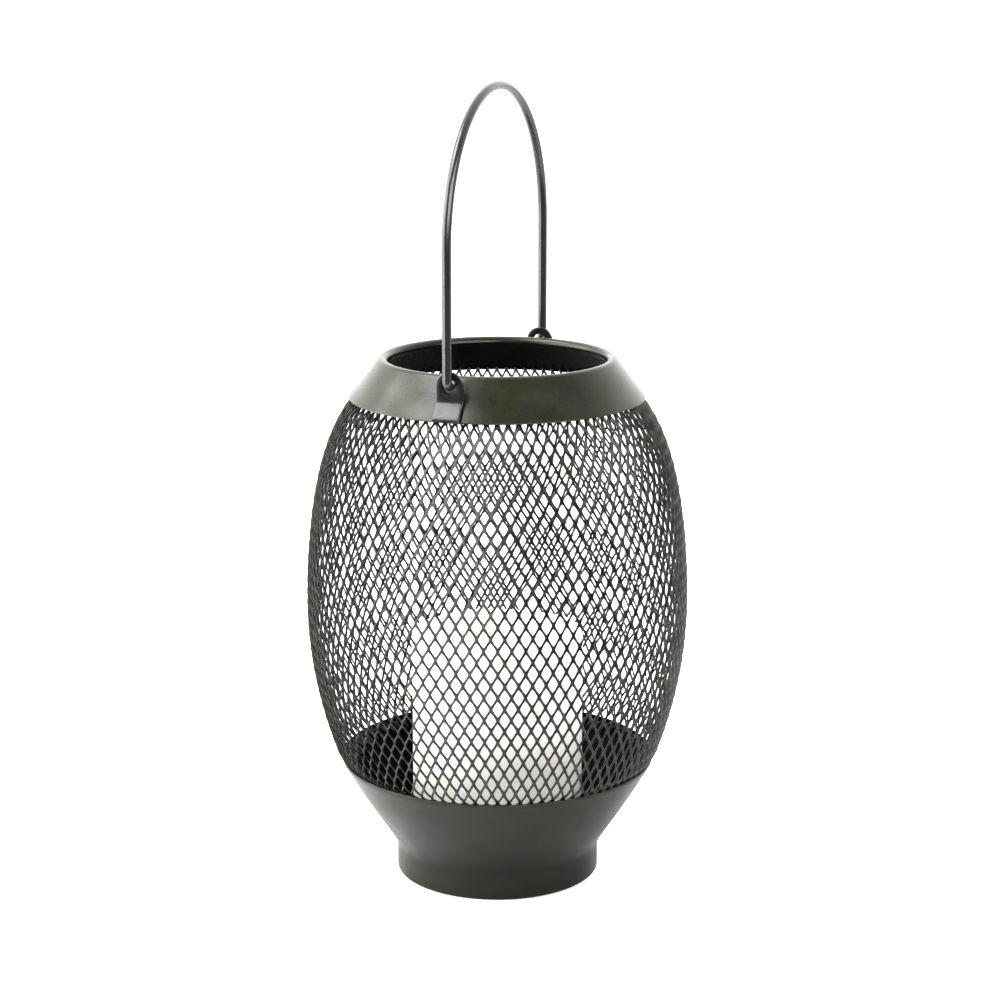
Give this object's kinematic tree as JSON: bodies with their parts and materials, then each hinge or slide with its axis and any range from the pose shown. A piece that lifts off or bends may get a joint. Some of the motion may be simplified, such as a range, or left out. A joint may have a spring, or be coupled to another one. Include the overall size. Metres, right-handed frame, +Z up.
{
  "type": "lantern",
  "caption": "Barrel-shaped open-top candle lantern: expanded-metal cage between a spun foot and collar, swinging wire bail, loose pillar candle.",
  "frame": {"origin": "centre of the foot's resting face, on the lantern's axis", "axes": "+Z up along the lantern's axis, X through the two ears that carry the bail"},
  "size_m": [0.1678, 0.1678, 0.3504],
  "materials": {
    "lantern_paint": "satin",
    "bail_paint": "satin",
    "wax": "satin",
    "flame": "satin",
    "core_plastic": "matte",
    "cell_jacket": "gloss",
    "contact_metal": "satin",
    "board": "satin",
    "chip": "matte",
    "led_lens": "gloss",
    "switch_plastic": "matte",
    "wire_insulation": "satin"
  },
  "bodies": {
    "lantern_body": {"base_bowl": "lantern_paint", "candle_plate": "lantern_paint", "mesh_cage": "lantern_paint", "top_collar": "lantern_paint", "ear_left": "lantern_paint", "ear_right": "lantern_paint"},
    "bail_handle": {"bail": "bail_paint"},
    "candle": {"wax_shell": "wax", "candle_core": "core_plastic", "battery_1": "cell_jacket", "battery_2": "cell_jacket", "contact_spring_1": "contact_metal", "contact_spring_2": "contact_metal", "circuit_board": "board", "control_chip": "chip", "switch_body": "contact_metal", "led_wire_1": "wire_insulation", "led_wire_2": "wire_insulation", "led": "led_lens", "flame_tip": "flame"},
    "cover": {"battery_cover": "core_plastic", "bridge_contact": "contact_metal"},
    "switch": {"switch_slider": "switch_plastic"}
  },
  "joints": [
    {"name": "bail_swing", "type": "hinge", "parent": "lantern_body", "child": "bail_handle", "pos_m": [0, 0, 0.23], "axis": [1, 0, 0], "range_deg": [-120, 120]},
    {"name": "candle_lift", "type": "slide", "parent": "lantern_body", "child": "candle", "axis": [0, 0, 1], "range_m": [0, 0.22]},
    {"name": "cover_twist", "type": "hinge", "parent": "candle", "child": "cover", "pos_m": [0, 0, 0.0087], "axis": [0, 0, 1], "range_deg": [0, 30]},
    {"name": "switch_slide", "type": "slide", "parent": "candle", "child": "switch", "axis": [1, 0, 0], "range_m": [0, 0.004]}
  ]
}
